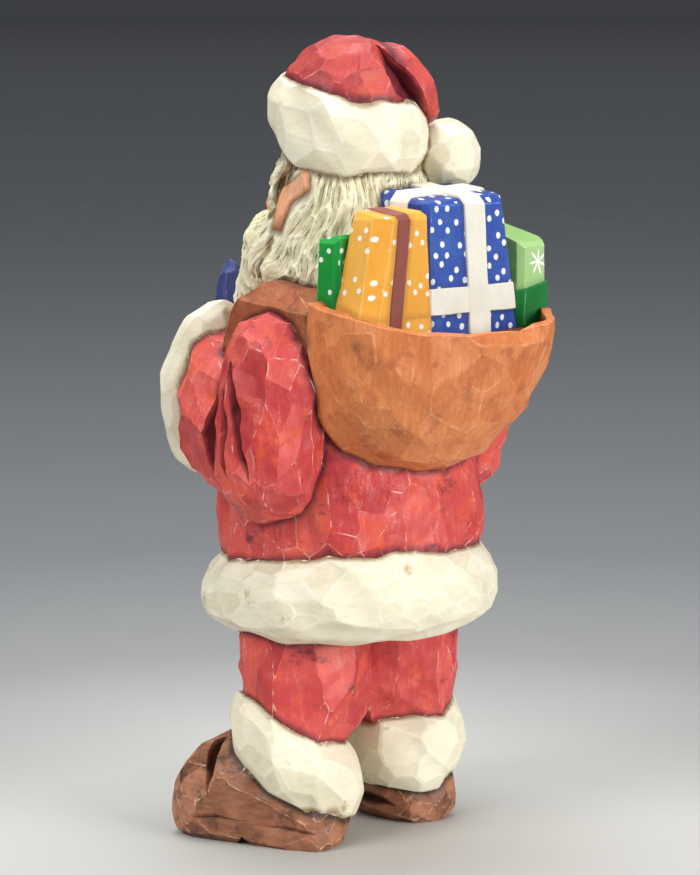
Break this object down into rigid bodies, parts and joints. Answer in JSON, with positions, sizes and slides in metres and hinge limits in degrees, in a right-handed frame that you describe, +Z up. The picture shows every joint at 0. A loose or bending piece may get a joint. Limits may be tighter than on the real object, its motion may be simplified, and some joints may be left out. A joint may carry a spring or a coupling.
{
  "type": "santa figurine",
  "caption": "Standing carved and painted wooden santa with a fur-trimmed coat and hat, a full beard, clasped mittens, and a pack of wrapped parcels on the back.",
  "frame": {"origin": "middle of the footprint at the height of the soles", "axes": "+Z up through the hat, -Y the way the santa faces, +X to its left hand"},
  "size_m": [0.118, 0.1174, 0.25],
  "materials": {
    "painted_basswood": "thin flat-cut facets under satin acrylic paint: red coat and hat, cream fur, brown pack and boots"
  },
  "bodies": {
    "root": {"santa_figure": "painted_basswood"}
  },
  "joints": []
}
